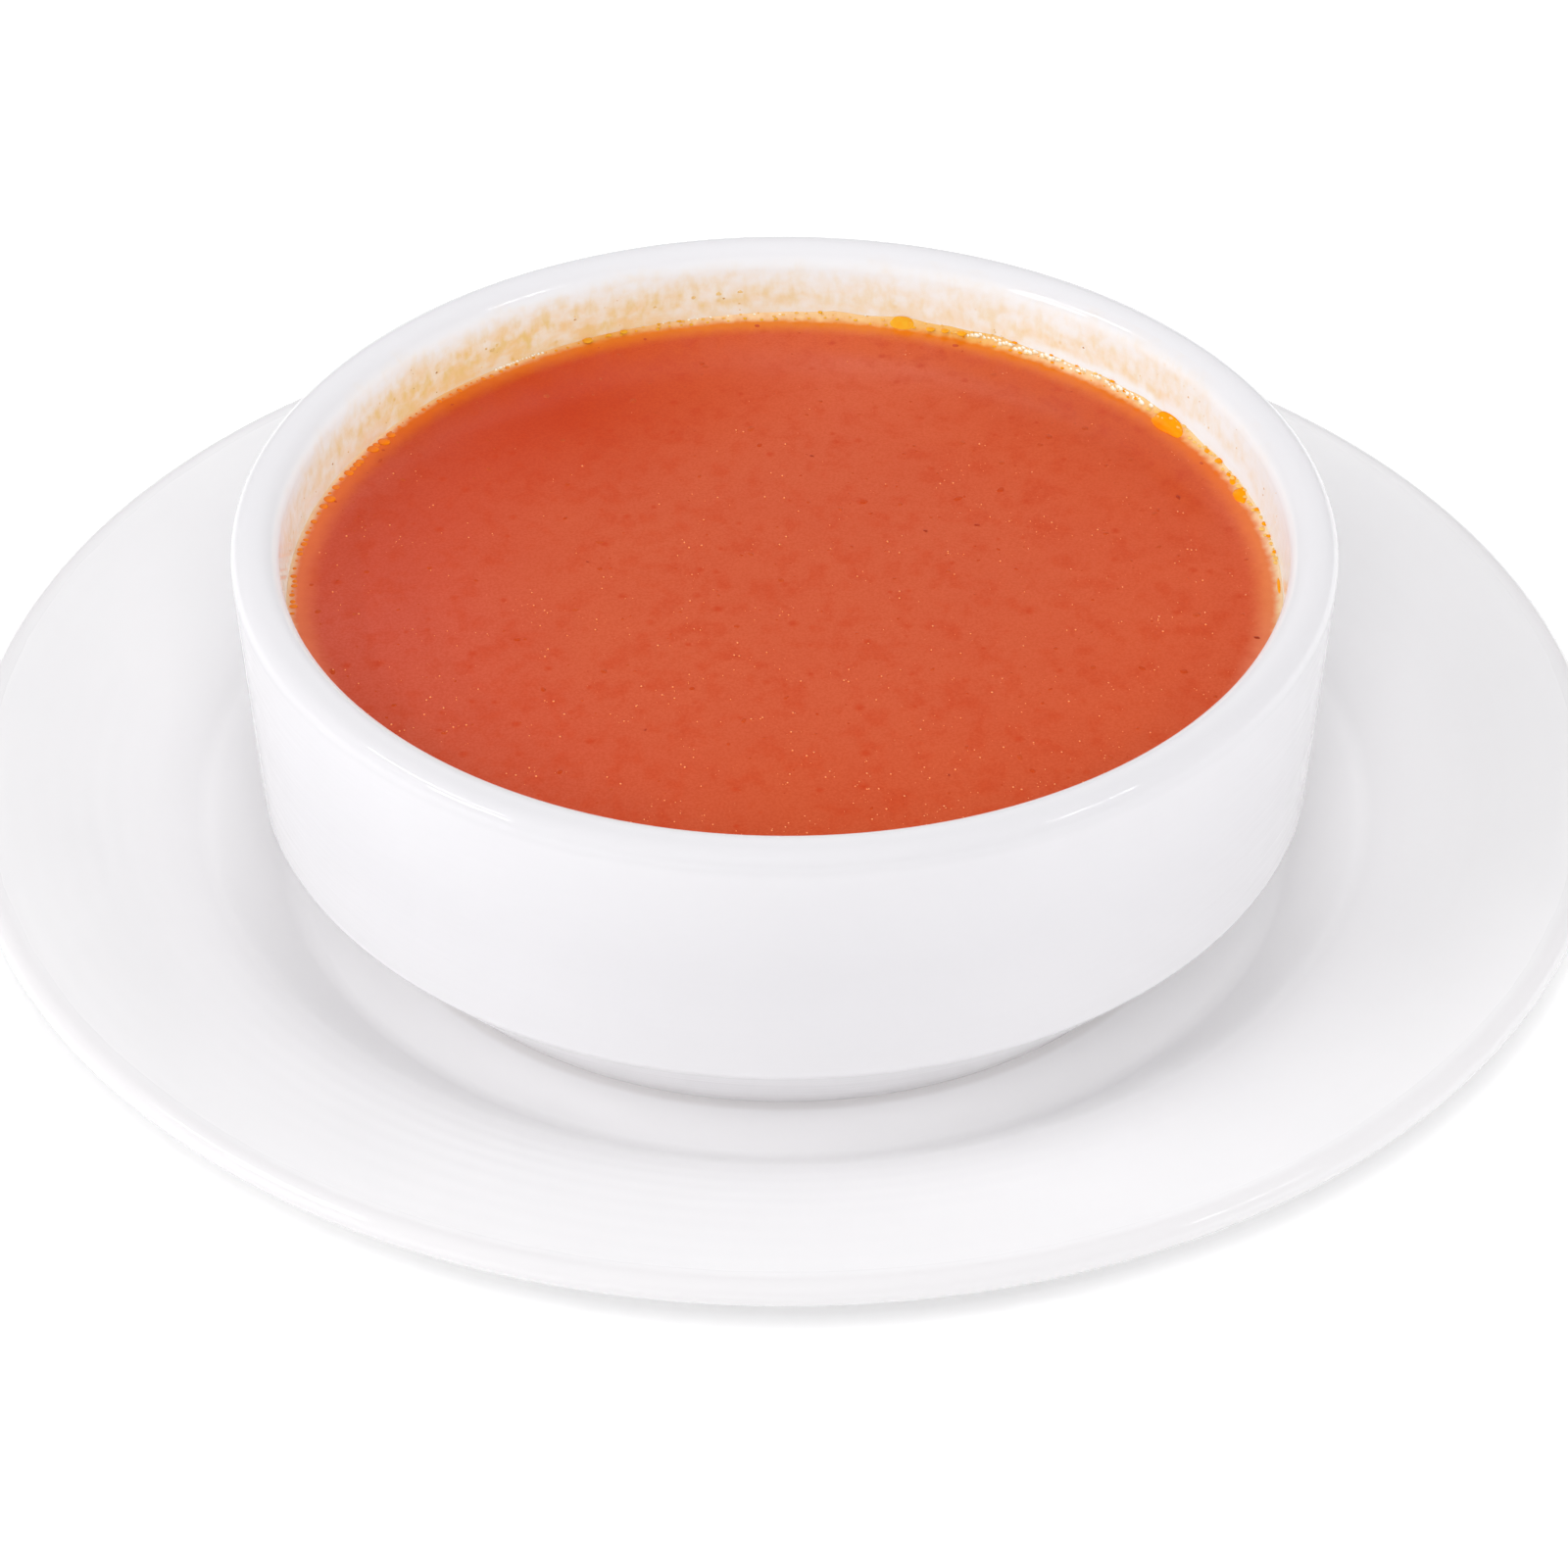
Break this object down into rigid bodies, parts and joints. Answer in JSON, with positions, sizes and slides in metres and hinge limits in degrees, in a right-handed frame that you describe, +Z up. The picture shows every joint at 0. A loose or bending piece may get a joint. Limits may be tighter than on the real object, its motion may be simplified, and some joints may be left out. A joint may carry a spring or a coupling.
{
  "type": "tomato soup",
  "caption": "Round white porcelain bowl filled with smooth tomato soup, standing in the well of a matching ridged plate.",
  "frame": {"origin": "centre of the plate's foot ring, on the surface that the plate stands on", "axes": "+Z up, along the common axis of the plate, the bowl and the soup"},
  "size_m": [0.1822, 0.1822, 0.0498],
  "materials": {
    "plate_glaze": "gloss",
    "bowl_glaze": "gloss",
    "soup": "satin"
  },
  "bodies": {
    "root": {"plate": "plate_glaze", "bowl": "bowl_glaze", "soup": "soup"}
  },
  "joints": []
}
